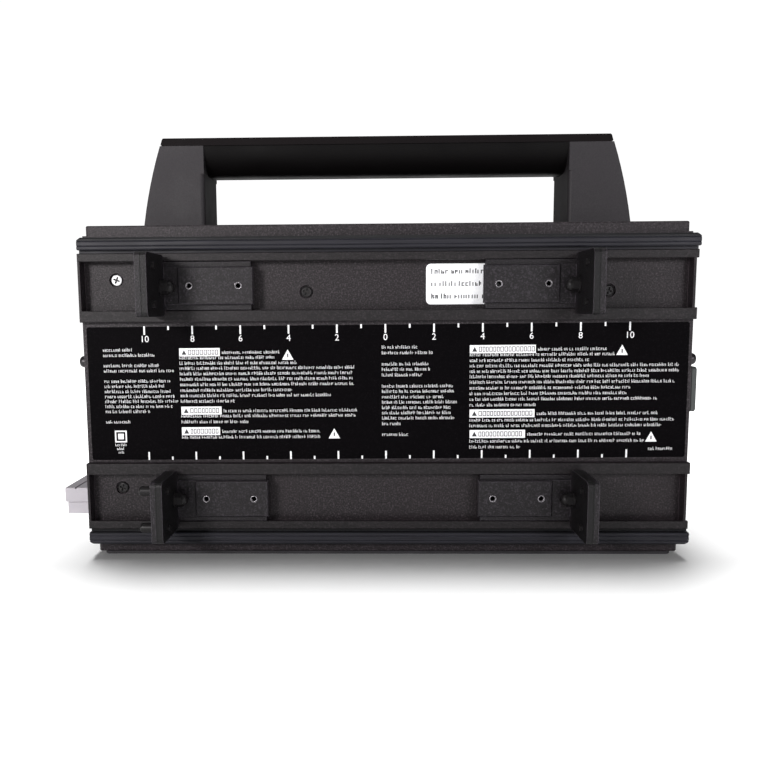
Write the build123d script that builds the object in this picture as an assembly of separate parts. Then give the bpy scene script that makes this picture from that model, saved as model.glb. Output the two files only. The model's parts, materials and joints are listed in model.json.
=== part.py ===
from build123d import *
import math
import os

# Car battery charger with a carrying handle and two rear mounting rails.
# Frame: millimetres, +Z up, origin at the centre of the base on the floor.
# -Y is the rear face with the label and the rails, +Y is the front with the controls.

# ---------------------------------------------------------------- driving dimensions
CASE_W = 377.0          # outer width of the case along X
CASE_D = 200.0          # outer depth of the case along Y
SHEET = 1.5             # sheet-metal thickness
GAP = 0.1               # assembly gap between fixed sheet parts
LABEL_Z = 105.6         # height of the index scale's middle above the floor

PAD_T = 2.8             # thickness of the base pad
PAD_INSET = 2.7         # how far the pad stays inside the tray's stepped bottom
CAP_W = 370.0           # width of the raised lid cap and of the stepped tray bottom
CAP_D = 197.0           # depth of the lid cap and of the tray bottom
CAP_R = 2.0             # corner radius of the lid cap and of the tray bottom
TRAY_STEP = 6.8         # height of the tray's stepped bottom
LID_CAP = 7.7           # height of the lid's raised cap
FLANGE = 8.0            # height of the inner flange of lid and tray

RAIL_IN = 44.3          # rail edge nearest the label, from the label's middle
RAIL_OUT = 86.4         # rail edge farthest from the label, from the label's middle
LIP_IN = 7.2            # lip height on the label side of the channel
LIP_OUT = 5.1           # lip height on the outer side of the channel
LIP_T = 2.0             # lip thickness
RAIL_WALL = 2.0         # thickness of the rail's upper and lower wall
RAIL_FLOOR = 3.0        # thickness of the channel floor
RAIL_PROUD = 4.5        # how far the lips stand out from the label face
CHANNEL_D = 8.0         # depth of the channel, lip face to floor
RAIL_END = 1.4          # thickness of the walls that close the rail's ends
END_SET = 1.2           # how far the right end wall is set in

TRIM_FACE = 88.4        # inner edge of the trim's face, from the label's middle
TRIM_OUT = 96.0         # outer edge of the trim, from the label's middle
TRIM_PROUD = 6.0        # how far the trim stands out from the label face
TRIM_LEDGE = 2.0        # how far its recessed strip beside the rail stands out
TRIM_W = 376.8          # trim length
TRIM_X = 0.5            # middle of the trim along X
TRIM_CORNER = 2.0       # cut-off corners at the trim's ends

LABEL_W = 372.5
LABEL_H = 84.0
LABEL_T = 0.3
LABEL_TURN = 0.2        # degrees; the label is stuck on a little askew

HANDLE_D = 44.0         # handle depth along Y
HANDLE_X = 2.1          # middle of the handle along X
HANDLE_TOP_Z = 278.7
SEAM_Z = 273.2          # joint between the handle frame and its cap
GRIP_BOTTOM_Z = 253.7
GRIP_STEP = 0.8         # how far the grip is set back under its cap
OPENING_HALF = 129.3    # half width of the hand opening
POST_BASE_HALF = 174.6  # outer half width of the posts at the lid
POST_TOP_HALF = 160.4   # outer half width of the posts at the seam
POST_BULGE = 1.7        # how far the posts' outer sides bulge
HANDLE_WALL = 3.5       # wall thickness of the posts
TROUGH_END = 14.0       # from the post's outer side to the trough's end
TROUGH_SIDE = 9.0       # from the grip's face to the trough

PLATE_T = 3.4           # thickness of a bracket's upright and of its pad
PLATE_H = 37.0          # height of the upright
PLATE_REACH = 40.5      # how far the upright stands out from the label face
BAR_H = 23.0            # height of the arm's foot bar
BAR_L = 46.1            # length of the bar
BAR_SET_BACK = 1.8      # how far the slide shoe ends before the bar does
HOLE_PITCH = 30.0       # distance between the two tapped holes
HOLE_INSET = 9.2        # from the bar's inner end to the first tapped hole
TAP_R = 1.65            # radius of the tapped holes

SCREW_PITCH = 22.4      # distance between a bracket's two flange screws
SCREW_REACH = 30.0      # from the label face to the flange screws
BOLT_REACH = 12.0       # from the label face to the centre bolt

# each bracket at rest: flange plane X, side of the label, distance from the flange
# plane to the bar, and how far its flange screws stand out at the back of the pad
BRACKETS = {
    "upper_left": (-138.5, 1, 12.0, 2.2),
    "lower_left": (-134.2, -1, 14.6, 9.6),
    "upper_right": (118.4, 1, 13.0, 2.2),
    "lower_right": (118.5, -1, 15.0, 2.2),
}

DC_W = 49.0             # direct-current connector: width along Y
DC_H = 19.1             # thickness along Z
DC_REACH = 42.1         # how far it stands out from the left wall
DC_Y = -15.5            # middle of the connector along Y
DC_Z = 20.15            # middle of the connector along Z

INLET_W = 50.0          # mains inlet bezel: width along Y
INLET_H = 29.0          # height along Z
INLET_Y = -60.0
INLET_Z = 104.8
INLET_PROUD = 10.5      # how far the bezel stands out from the right wall
BEZEL_T = 3.2           # thickness of the bezel
PINS = ((-7.0, -2.5), (0.0, 2.0), (7.0, -2.5))     # inlet pins, from the inlet's middle

FAN = 80.0              # fan frame side
FAN_T = 25.0            # fan thickness along X
FAN_Y = 25.0
FAN_Z = 118.0
FAN_PITCH = 71.5        # distance between the fan's screw holes
DUCT_R = 37.5           # fan duct radius
SHAFT_R = 1.5           # fan shaft radius
SHAFT_CLEAR = 0.05      # radial running clearance of every pivot

FASCIA_W = 300.0
FASCIA_H = 128.0
FASCIA_T = 4.0
FASCIA_Z = 122.0
DISPLAY = (58.0, 140.0, 96.0, 46.0)     # x, z, width, height
CONTROLS_X = (-30.0, 108.0)             # opening behind the display and the buttons
CONTROLS_LOW = 78.0
BUTTON_R = 8.0
BUTTON_Z = 90.0
BUTTONS = {"mode_button": 90.0, "plus_button": 58.0, "minus_button": 26.0}
INDICATORS_X = -14.0
INDICATORS_Z = (158.0, 146.0, 134.0, 122.0)
INDICATOR_R = 2.5
ROCKER_X = -92.0
ROCKER_Z = 122.0
ROCKER_W = 21.0         # width and height of the switch housing behind the fascia
ROCKER_H = 31.0
ROCKER_TILT = 8.0       # degrees either side of neutral; at rest it is tilted to off
CONTROL_BOARD_Y = 88.0  # rear face of the control board

BOARD_Z = 30.0          # underside of the main board
BOARD_T = 1.6

# ---------------------------------------------------------------- derived values
HALF_W = CASE_W / 2
REAR = -CASE_D / 2
FRONT = CASE_D / 2
TRAY_Z = PAD_T + TRAY_STEP
LID_Z = LABEL_Z + TRIM_OUT
TOP_Z = LID_Z + LID_CAP
LIP_FACE = REAR - RAIL_PROUD
CHANNEL_FLOOR = LIP_FACE + CHANNEL_D
RAIL_BACK = CHANNEL_FLOOR + RAIL_FLOOR
CHANNEL_MID = (RAIL_IN + LIP_IN + RAIL_OUT - LIP_OUT) / 2
RAIL_MID = (RAIL_IN + RAIL_OUT) / 2
OPENING_H = RAIL_OUT - LIP_OUT - RAIL_IN - LIP_IN
RING_W = CASE_W - 2 * SHEET - 2 * GAP   # lid and tray flanges fit inside the side panels
RING_D = CASE_D - 2 * SHEET - 2 * GAP

RAIL_SCREWS = {         # side of the label: (x, distance from the label's middle)
    1: ((-167.4, 70.4), (-48.8, 62.5), (137.5, 62.1)),
    -1: ((-168.6, 61.6), (-96.0, 66.4), (92.0, 66.4)),
}
SCREW_HEAD_R = 3.4
SCREW_BORE_R = 4.4
SCREW_SEAT = 1.1        # how far the rail screws' seats lie above the back of the rail
SHANK_R = 1.9
HOLE_R = 2.1


# ---------------------------------------------------------------- helpers
def block(x0, x1, y0, y1, z0, z1):
    """Box given by its limits along each axis."""
    middle = Pos((x0 + x1) / 2, (y0 + y1) / 2, (z0 + z1) / 2)
    return middle * Box(x1 - x0, y1 - y0, z1 - z0)


def rod(point, direction, radius, length):
    """Cylinder that starts at a point and runs along a direction."""
    along = Plane(origin=point, z_dir=direction)
    return along * Cylinder(radius, length, align=(Align.CENTER, Align.CENTER, Align.MIN))


def prism_x(points, x0, x1):
    """Outline of (y, z) points carried along X."""
    outline = make_face(Polyline(*[(x0, y, z) for y, z in points], close=True))
    return extrude(outline, amount=x1 - x0, dir=(1, 0, 0))


def prism_y(points, y0, y1):
    """Outline of (x, z) points carried along Y."""
    outline = make_face(Polyline(*[(x, y0, z) for x, z in points], close=True))
    return extrude(outline, amount=y1 - y0, dir=(0, 1, 0))


def rounded_plate(origin, normal, x_dir, width, height, radius, thickness):
    """Rounded rectangle carried along its normal."""
    face = Plane(origin=origin, x_dir=x_dir, z_dir=normal) * RectangleRounded(width, height, radius)
    return extrude(face, amount=thickness, dir=normal)


def cross_recess(point, direction, size, depth):
    """Cross-shaped driver recess, cut from a point into the head along a direction."""
    place = Plane(origin=point, z_dir=direction) * Rot(0, 0, 20)
    low = (Align.CENTER, Align.CENTER, Align.MIN)
    return place * (Box(size, size / 4, depth, align=low) + Box(size / 4, size, depth, align=low))


def pan_screw(point, direction, head_r, head_h, shank_r, length):
    """Pan-head screw: the head's underside is at the point, the shank runs along the direction."""
    back = Vector(*direction) * -1
    crown = min(head_h, head_r) * 0.6
    head = rod(point, tuple(back), head_r, head_h)
    top = head.faces().sort_by(Axis(point, tuple(back)))[-1]
    head = fillet(top.edges(), crown)
    shank = rod(point, direction, shank_r, length)
    start = Vector(*point) + back * (head_h + 0.01)
    return head + shank - cross_recess(tuple(start), direction, head_r * 1.25, crown * 1.2)


def group(solids):
    """Separate solids kept together as one sub-part."""
    return Compound(children=list(solids))


def edges_along(shape, axis, radius):
    """Round every straight edge that runs along an axis."""
    return fillet(shape.edges().filter_by(axis), radius)


# ---------------------------------------------------------------- case
def base_pad():
    width = CAP_W - 2 * PAD_INSET
    depth = CAP_D - 2 * PAD_INSET
    pad = rounded_plate((0, 0, 0), (0, 0, 1), (1, 0, 0), width, depth, 3.0, PAD_T)
    return chamfer(pad.faces().sort_by(Axis.Z)[0].edges(), 0.5)


def stepped_pan(z_outer, z_step, z_flange):
    """Sheet pan: a smaller raised field, a ledge, and a flange ring inside the side panels.

    z_outer is the outer face, z_step the ledge's outer face, z_flange the flange's free edge.
    """
    inward = 1 if z_flange > z_outer else -1
    ledge = z_step - inward * SHEET

    def ring(width, depth, z_a, z_b):
        return block(-width / 2, width / 2, -depth / 2, depth / 2, min(z_a, z_b), max(z_a, z_b))

    field = edges_along(ring(CAP_W, CAP_D, z_outer, z_step), Axis.Z, CAP_R)
    field = fillet(field.faces().sort_by(Axis.Z)[0 if inward > 0 else -1].edges(), 1.0)
    shell = field + ring(RING_W, RING_D, ledge, z_flange)
    inner_field = edges_along(
        ring(CAP_W - 2 * SHEET, CAP_D - 2 * SHEET, z_outer + inward * SHEET, z_step), Axis.Z, 0.5)
    inner_ring = ring(RING_W - 2 * SHEET, RING_D - 2 * SHEET, z_step, z_flange)
    return shell - inner_field - inner_ring


def base_tray():
    tray = stepped_pan(PAD_T, TRAY_Z, TRAY_Z + FLANGE)
    half = DC_W / 2 + 0.4
    return tray - block(-HALF_W, -HALF_W + 6, DC_Y - half, DC_Y + half, DC_Z - DC_H / 2 - 0.4, TRAY_Z + 20)


def handle_screw_places():
    """Four places under the posts: (x, y), x measured from the handle's middle."""
    return [(sign * 150.0, y) for sign in (-1, 1) for y in (-11.0, 11.0)]


def top_lid():
    lid = stepped_pan(TOP_Z, LID_Z, LID_Z - FLANGE)
    for x, y in handle_screw_places():
        lid -= rod((HANDLE_X + x, y, LID_Z), (0, 0, 1), HOLE_R, LID_CAP + 1)
    return lid


def rear_panel():
    """Folded panel: flat fields at the rear face, set in behind the two rails."""
    face_in = REAR + SHEET
    flange_out = RAIL_BACK + GAP
    flange_in = flange_out + SHEET
    bottom = TRAY_Z + GAP
    top = LID_Z - GAP
    outer = [(REAR, bottom)]
    inner = [(face_in, bottom)]
    for sign in (-1, 1):
        edges = sorted((LABEL_Z + sign * RAIL_IN, LABEL_Z + sign * RAIL_OUT))
        low = edges[0] - GAP
        high = edges[1] + GAP
        outer += [(REAR, low), (flange_out, low), (flange_out, high), (REAR, high)]
        inner += [(face_in, low - SHEET), (flange_in, low - SHEET)]
        inner += [(flange_in, high + SHEET), (face_in, high + SHEET)]
    outer.append((REAR, top))
    inner.append((face_in, top))
    half_in = HALF_W - SHEET - 2 * GAP
    panel = prism_x(outer + inner[::-1], -half_in, half_in)
    fields = (
        (bottom, LABEL_Z - RAIL_OUT - GAP),
        (LABEL_Z - RAIL_IN + GAP, LABEL_Z + RAIL_IN - GAP),
        (LABEL_Z + RAIL_OUT + GAP, top),
    )
    for low, high in fields:
        panel += block(-HALF_W, HALF_W, REAR, face_in, low, high)
    for sign in (-1, 1):
        x_in = sign * (half_in - SHEET)
        x_out = sign * half_in
        panel += block(min(x_in, x_out), max(x_in, x_out), REAR, REAR + 14, LABEL_Z - 30, LABEL_Z + 30)
        y, z = side_screw_places()[0]
        panel -= rod((sign * (half_in - 3), y, z), (sign, 0, 0), HOLE_R, 5)
    for sign, places in RAIL_SCREWS.items():
        for x, away in places:
            panel -= rod((x, RAIL_BACK - 1, LABEL_Z + sign * away), (0, 1, 0), HOLE_R, 5)
    return panel


def side_screw_places():
    """Side-panel screws: (y, z)."""
    return [(REAR + 5, LABEL_Z + 19.6), (FRONT - 8, LABEL_Z - 60), (FRONT - 8, LABEL_Z + 60)]


def side_panel(sign):
    """Flat side panel, notched where the two rails pass."""
    x_in = sign * (HALF_W - SHEET)
    x_out = sign * HALF_W
    x_low, x_high = sorted((x_in, x_out))
    panel = block(x_low, x_high, REAR + SHEET + GAP, FRONT - SHEET - GAP, TRAY_Z + GAP, LID_Z - GAP)
    for rail_sign in (-1, 1):
        low, high = sorted((LABEL_Z + rail_sign * RAIL_IN, LABEL_Z + rail_sign * RAIL_OUT))
        panel -= block(x_low - 1, x_high + 1, REAR, RAIL_BACK + GAP, low - GAP, high + GAP)
    for y, z in side_screw_places():
        panel -= rod((x_low - 1, y, z), (1, 0, 0), HOLE_R, SHEET + 2)
    return panel


def left_side_panel():
    panel = side_panel(-1)
    panel -= rod((-HALF_W - 1, FAN_Y, FAN_Z), (1, 0, 0), DUCT_R, SHEET + 2)
    for y, z in fan_screw_places():
        panel -= rod((-HALF_W - 1, y, z), (1, 0, 0), HOLE_R, SHEET + 2)
    hole_w = DC_W / 2 + 0.4
    hole_h = DC_H / 2 + 0.4
    return panel - block(-HALF_W - 1, -HALF_W + SHEET + 1, DC_Y - hole_w, DC_Y + hole_w, 0, DC_Z + hole_h)


def right_side_panel():
    panel = side_panel(1)
    x0 = HALF_W - SHEET - 1
    x1 = HALF_W + 1
    half_w = INLET_W / 2 - 2
    half_h = INLET_H / 2 - 1.5
    panel -= block(x0, x1, INLET_Y - half_w, INLET_Y + half_w, INLET_Z - half_h, INLET_Z + half_h)
    for row in range(2):
        for column in range(12):
            y = 10 + column * 6.0
            z = 70 + row * 48
            slot = rounded_plate((x0, y, z), (1, 0, 0), (0, 1, 0), 3.0, 38.0, 1.4, x1 - x0)
            panel -= slot
    return panel


def front_panel():
    panel = block(-HALF_W, HALF_W, FRONT - SHEET, FRONT, TRAY_Z + GAP, LID_Z - GAP)
    _, z, _, height = DISPLAY
    panel -= block(*CONTROLS_X, FRONT - 3, FRONT + 1, CONTROLS_LOW, z + height / 2)
    half_w = ROCKER_W / 2 + 0.5
    half_h = ROCKER_H / 2 + 0.5
    return panel - block(ROCKER_X - half_w, ROCKER_X + half_w, FRONT - 3, FRONT + 1,
                         ROCKER_Z - half_h, ROCKER_Z + half_h)


def side_screws():
    screws = []
    for sign in (-1, 1):
        for y, z in side_screw_places():
            screws.append(pan_screw((sign * HALF_W, y, z), (-sign, 0, 0), 3.6, 4.2, SHANK_R, 7.0))
    for y, z in fan_screw_places():
        screws.append(pan_screw((-HALF_W - 1.6, y, z), (1, 0, 0), 3.4, 2.0, SHANK_R, 13.0))
    return group(screws)


# ---------------------------------------------------------------- rails and trim
def rail(sign):
    """C-shaped channel closed at both ends; sign is +1 above the label, -1 below it."""
    def at(away):
        return LABEL_Z + sign * away

    outline = [
        (LIP_FACE, at(RAIL_IN)),
        (RAIL_BACK, at(RAIL_IN)),
        (RAIL_BACK, at(RAIL_OUT)),
        (LIP_FACE, at(RAIL_OUT)),
        (LIP_FACE, at(RAIL_OUT - LIP_OUT)),
        (LIP_FACE + LIP_T, at(RAIL_OUT - LIP_OUT)),
        (LIP_FACE + LIP_T, at(RAIL_OUT - RAIL_WALL)),
        (CHANNEL_FLOOR, at(RAIL_OUT - RAIL_WALL)),
        (CHANNEL_FLOOR, at(RAIL_IN + RAIL_WALL)),
        (LIP_FACE + LIP_T, at(RAIL_IN + RAIL_WALL)),
        (LIP_FACE + LIP_T, at(RAIL_IN + LIP_IN)),
        (LIP_FACE, at(RAIL_IN + LIP_IN)),
    ]
    body = prism_x(outline, -HALF_W, HALF_W)
    front_edges = body.edges().filter_by(Axis.X).group_by(Axis.Y)[0]
    body = fillet(front_edges, 0.6)
    low, high = sorted((at(RAIL_IN + 0.4), at(RAIL_OUT - 0.4)))
    right = HALF_W - END_SET
    body += block(-HALF_W, -HALF_W + RAIL_END, LIP_FACE + 0.1, RAIL_BACK, low, high)
    body += block(right - RAIL_END, right, LIP_FACE + 0.4, RAIL_BACK, low, high)
    for x, away in RAIL_SCREWS[sign]:
        depth = 1 + RAIL_FLOOR - SCREW_SEAT
        body -= rod((x, CHANNEL_FLOOR - 1, at(away)), (0, 1, 0), SCREW_BORE_R, depth)
        body -= rod((x, CHANNEL_FLOOR, at(away)), (0, 1, 0), HOLE_R, RAIL_FLOOR + 1)
    return body


def rail_screws():
    seat = RAIL_BACK - SCREW_SEAT
    screws = []
    for sign, places in RAIL_SCREWS.items():
        for x, away in places:
            point = (x, seat, LABEL_Z + sign * away)
            screws.append(pan_screw(point, (0, 1, 0), SCREW_HEAD_R, 1.6, SHANK_R, 9.0))
    return group(screws)


def trim(sign):
    """Edge strip: a recessed strip beside the rail, then a face with two fine grooves."""
    def at(away):
        return LABEL_Z + sign * away

    face = REAR - TRIM_PROUD
    ledge = REAR - TRIM_LEDGE
    groove = 0.5
    outline = [
        (REAR, at(RAIL_OUT + GAP)),
        (ledge, at(RAIL_OUT + GAP)),
        (ledge, at(TRIM_FACE)),
        (face + 0.7, at(TRIM_FACE)),
        (face, at(TRIM_FACE + 0.7)),
    ]
    for share in (0.30, 0.68):
        away = TRIM_FACE + share * (TRIM_OUT - TRIM_FACE)
        outline += [(face, at(away - groove)), (face + groove, at(away)), (face, at(away + groove))]
    outline += [(face, at(TRIM_OUT - 1.2)), (face + 1.2, at(TRIM_OUT)), (REAR, at(TRIM_OUT))]
    strip = prism_x(outline, TRIM_X - TRIM_W / 2, TRIM_X + TRIM_W / 2)
    for end in (-1, 1):
        tip = TRIM_X + end * TRIM_W / 2
        corner = [
            (tip, at(TRIM_OUT)),
            (tip - end * TRIM_CORNER, at(TRIM_OUT)),
            (tip, at(TRIM_OUT - TRIM_CORNER)),
        ]
        strip -= prism_y(corner, face - 1, REAR + 1)
    return strip


def rating_label():
    turn = math.radians(LABEL_TURN)
    along = (math.cos(turn), 0, math.sin(turn))
    return rounded_plate((0.2, REAR, LABEL_Z), (0, -1, 0), along, LABEL_W, LABEL_H, 1.5, LABEL_T)


def serial_sticker():
    place = (49.3, CHANNEL_FLOOR, LABEL_Z + 66.7)
    return rounded_plate(place, (0, -1, 0), (1, 0, 0), 48.0, 25.0, 3.0, 0.2)


# ---------------------------------------------------------------- handle
def handle_profile(sign):
    """Outer side of a post from the lid to the seam, bulging a little."""
    base = (sign * POST_BASE_HALF, 0, TOP_Z)
    x_middle = (POST_BASE_HALF + POST_TOP_HALF) / 2 + POST_BULGE
    middle = (sign * x_middle, 0, (TOP_Z + SEAM_Z) / 2)
    return ThreePointArc(base, middle, (sign * POST_TOP_HALF, 0, SEAM_Z))


def handle_block():
    """The whole handle frame before hollowing: both posts and the bar between them."""
    outline = [
        Line((-POST_BASE_HALF, 0, TOP_Z), (POST_BASE_HALF, 0, TOP_Z)),
        handle_profile(1),
        Line((POST_TOP_HALF, 0, SEAM_Z), (-POST_TOP_HALF, 0, SEAM_Z)),
        handle_profile(-1),
    ]
    face = make_face(Curve() + outline)
    return extrude(face, amount=HANDLE_D / 2, dir=(0, 1, 0), both=True)


def grip_undercut(sign):
    """Removes the lower edge of the grip so that its section is rounded under the fingers."""
    half = HANDLE_D / 2
    flat = 4.0
    corner = block(-OPENING_HALF, OPENING_HALF, flat, half + 1, GRIP_BOTTOM_Z - 1, SEAM_Z + 1)
    place = Plane(origin=(-OPENING_HALF, flat, SEAM_Z), x_dir=(0, 1, 0), z_dir=(1, 0, 0))
    section = Ellipse(half - GRIP_STEP - flat, SEAM_Z - GRIP_BOTTOM_Z)
    undercut = corner - extrude(place * section, amount=2 * OPENING_HALF)
    undercut -= block(-OPENING_HALF, OPENING_HALF, 0, half - GRIP_STEP, SEAM_Z, SEAM_Z + 2)
    return undercut if sign > 0 else undercut.mirror(Plane.XZ)


def handle_frame():
    """Moulded frame: two hollow posts, and between them the grip with a trough for the cap."""
    half_d = HANDLE_D / 2
    opening = block(-OPENING_HALF, OPENING_HALF, -HANDLE_D, HANDLE_D, TOP_Z - 1, GRIP_BOTTOM_Z)
    frame = handle_block() - opening
    upright_edges = frame.edges().filter_by(GeomType.LINE).filter_by(
        lambda edge: abs(edge.tangent_at(0.5).Z) > 0.9)
    frame = fillet(upright_edges, 3.0)
    frame -= grip_undercut(-1)
    frame -= grip_undercut(1)
    trough_half = POST_TOP_HALF - TROUGH_END
    frame -= block(-trough_half, trough_half, TROUGH_SIDE - half_d, half_d - TROUGH_SIDE,
                   GRIP_BOTTOM_Z + 6.5, SEAM_Z + 1)
    for sign in (-1, 1):
        x0, x1 = sorted((sign * (OPENING_HALF + HANDLE_WALL), sign * (POST_TOP_HALF - HANDLE_WALL)))
        frame -= block(x0, x1, HANDLE_WALL - half_d, half_d - HANDLE_WALL, TOP_Z - 1, GRIP_BOTTOM_Z)
    for x, y in handle_screw_places():
        frame += rod((x, y, TOP_Z), (0, 0, 1), 4.5, GRIP_BOTTOM_Z - TOP_Z + 1)
        frame -= rod((x, y, TOP_Z - 1), (0, 0, 1), SHANK_R, 14)
    return Pos(HANDLE_X, 0, 0) * frame


def handle_cap():
    """Strip that closes the grip from above, with a lip that drops into the trough."""
    notch = 0.9
    half_low = POST_TOP_HALF - 0.2
    half_high = half_low - 1.4
    points = [
        (-half_low, SEAM_Z + notch),
        (-half_low + 1.6, SEAM_Z + 0.05),
        (half_low - 1.6, SEAM_Z + 0.05),
        (half_low, SEAM_Z + notch),
        (half_high, HANDLE_TOP_Z),
        (-half_high, HANDLE_TOP_Z),
    ]
    half_d = HANDLE_D / 2
    strip = prism_y(points, -half_d, half_d)
    strip = fillet(strip.edges().filter_by(Axis.Y).group_by(Axis.Z)[-1], 1.5)
    strip = fillet(strip.faces().sort_by(Axis.Z)[-1].edges().filter_by(Axis.X), 1.2)
    x_half = POST_TOP_HALF - TROUGH_END - 0.2
    y_half = half_d - TROUGH_SIDE - 0.2
    strip += block(-x_half, x_half, -y_half, y_half, SEAM_Z - 2.0, SEAM_Z + 0.1)
    return Pos(HANDLE_X, 0, 0) * strip


def handle_screws():
    seat = TOP_Z - SHEET
    return group(
        pan_screw((HANDLE_X + x, y, seat), (0, 0, 1), 4.2, 2.6, SHANK_R - 0.05, 13.0)
        for x, y in handle_screw_places()
    )


# ---------------------------------------------------------------- front controls
def control_fascia():
    fascia = rounded_plate((0, FRONT, FASCIA_Z), (0, 1, 0), (1, 0, 0), FASCIA_W, FASCIA_H, 10.0, FASCIA_T)
    fascia = fillet(fascia.faces().sort_by(Axis.Y)[-1].edges(), 1.5)
    x, z, width, height = DISPLAY
    face = FRONT + FASCIA_T
    fascia -= rounded_plate((x, face - 2.0, z), (0, 1, 0), (1, 0, 0), width + 0.2, height + 0.2, 3.1, 3.0)
    fascia -= block(x - width / 2 + 5, x + width / 2 - 5, FRONT - 1, face, z - height / 2 + 4, z + height / 2 - 4)
    for x_button in BUTTONS.values():
        fascia -= rod((x_button, FRONT - 1, BUTTON_Z), (0, 1, 0), BUTTON_R, FASCIA_T + 2)
    for z_lens in INDICATORS_Z:
        fascia -= rod((INDICATORS_X, FRONT - 1, z_lens), (0, 1, 0), INDICATOR_R + 0.05, FASCIA_T + 2)
    half_w = ROCKER_W / 2 + 0.2
    half_h = ROCKER_H / 2 + 0.2
    return fascia - block(ROCKER_X - half_w, ROCKER_X + half_w, FRONT - 1, face + 1,
                          ROCKER_Z - half_h, ROCKER_Z + half_h)


def display_lens():
    x, z, width, height = DISPLAY
    place = (x, FRONT + FASCIA_T - 2.0, z)
    return rounded_plate(place, (0, 1, 0), (1, 0, 0), width, height, 3.0, 1.8)


def display_module():
    x, z, width, height = DISPLAY
    half_w = width / 2 - 6
    half_h = height / 2 - 5
    return block(x - half_w, x + half_w, CONTROL_BOARD_Y + BOARD_T + 0.2, FRONT - 1.6, z - half_h, z + half_h)


def indicator_lenses():
    lenses = []
    for z in INDICATORS_Z:
        y = CONTROL_BOARD_Y + 3.0
        lens = rod((INDICATORS_X, y, z), (0, 1, 0), INDICATOR_R, FRONT + FASCIA_T + 0.8 - y)
        lenses.append(fillet(lens.faces().sort_by(Axis.Y)[-1].edges(), 0.7))
    return group(lenses)


def control_board():
    """Circuit board with a small switch behind each button and a lamp behind each lens."""
    face = CONTROL_BOARD_Y + BOARD_T
    board = block(CONTROLS_X[0] + 4, CONTROLS_X[1] - 2, CONTROL_BOARD_Y, face, CONTROLS_LOW + 2, 162)
    for x in BUTTONS.values():
        board += block(x - 3, x + 3, face, face + 3.8, BUTTON_Z - 3, BUTTON_Z + 3)
    for z in INDICATORS_Z:
        board += block(INDICATORS_X - 1.5, INDICATORS_X + 1.5, face, face + 1.2, z - 1.5, z + 1.5)
    return board


def push_button(name):
    """Round cap, a retaining collar behind the fascia, and a stem to the switch."""
    x = BUTTONS[name]
    face = FRONT + FASCIA_T
    cap = rod((x, 98.0, BUTTON_Z), (0, 1, 0), BUTTON_R - 0.3, face + 2.4 - 98.0)
    cap = fillet(cap.faces().sort_by(Axis.Y)[-1].edges(), 1.0)
    collar = rod((x, 98.0, BUTTON_Z), (0, 1, 0), BUTTON_R + 1.0, 1.6)
    stem = rod((x, 95.3, BUTTON_Z), (0, 1, 0), 2.0, 3.0)
    dish = Pos(x, face + 2.4 + 17.4, BUTTON_Z) * Sphere(18.0)
    return cap + collar + stem - dish


def rocker_frame():
    """Switch housing with a flange on the fascia, a well for the rocker and pivot sockets."""
    face = FRONT + FASCIA_T
    half_w = ROCKER_W / 2
    half_h = ROCKER_H / 2
    body = block(ROCKER_X - half_w, ROCKER_X + half_w, 86.0, face, ROCKER_Z - half_h, ROCKER_Z + half_h)
    body += rounded_plate((ROCKER_X, face, ROCKER_Z), (0, 1, 0), (1, 0, 0), 26.0, 36.0, 2.0, 1.6)
    body -= block(ROCKER_X - 9.0, ROCKER_X + 9.0, 94.0, face + 2, ROCKER_Z - 13.9, ROCKER_Z + 13.9)
    socket = rod((ROCKER_X - 9.9, rocker_pivot_y(), ROCKER_Z), (1, 0, 0), 1.5 + SHAFT_CLEAR, 19.8)
    for z in (-8, 0, 8):
        body += block(ROCKER_X - 3, ROCKER_X + 3, 78.0, 86.0, ROCKER_Z + z - 0.4, ROCKER_Z + z + 0.4)
    return body - socket


def rocker_pivot_y():
    return FRONT + FASCIA_T - 2.5


def power_rocker():
    """Rocker with a shallow hollow on its face, tilted to its off position."""
    pivot = rocker_pivot_y()
    points = [(4.0, 0), (5.6, 12.6), (-1.5, 12.2), (-5.0, 6.0), (-5.0, -6.0), (-1.5, -12.2), (5.6, -12.6)]
    shape = prism_x([(y, z) for y, z in points], -8.6, 8.6)
    shape = fillet(shape.edges().filter_by(Axis.X).group_by(Axis.Y)[-1], 0.8)
    shape += rod((-9.7, 0, 0), (1, 0, 0), 1.5, 19.4)
    return Pos(ROCKER_X, pivot, ROCKER_Z) * Rot(-ROCKER_TILT, 0, 0) * shape


# ---------------------------------------------------------------- mains inlet
def ac_inlet():
    """Black socket body: a collar outside the wall, a body through it, and the plug cavity."""
    x_face = HALF_W + INLET_PROUD - BEZEL_T
    collar = rounded_plate((HALF_W, INLET_Y, INLET_Z), (1, 0, 0), (0, 1, 0), INLET_W - 0.6, INLET_H - 0.4,
                           2.0, x_face - HALF_W)
    body = block(HALF_W - 20, HALF_W + 1, INLET_Y - 22.5, INLET_Y + 22.5, INLET_Z - 12.5, INLET_Z + 12.5)
    body += collar
    for y, z in PINS:
        y += INLET_Y
        z += INLET_Z
        body -= block(HALF_W - 21, HALF_W - 9, y - 1.02, y + 1.02, z - 2.02, z + 2.02)
    return body - inlet_cavity(HALF_W - 10, x_face + 1)


def inlet_cavity(x0, x1):
    """Six-sided plug cavity: a rectangle with two corners cut off."""
    points = [(-12.2, -8.2), (12.2, -8.2), (12.2, 3.5), (7.5, 8.2), (-7.5, 8.2), (-12.2, 3.5)]
    return prism_x([(INLET_Y + y, INLET_Z + z) for y, z in points], x0, x1)


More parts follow.
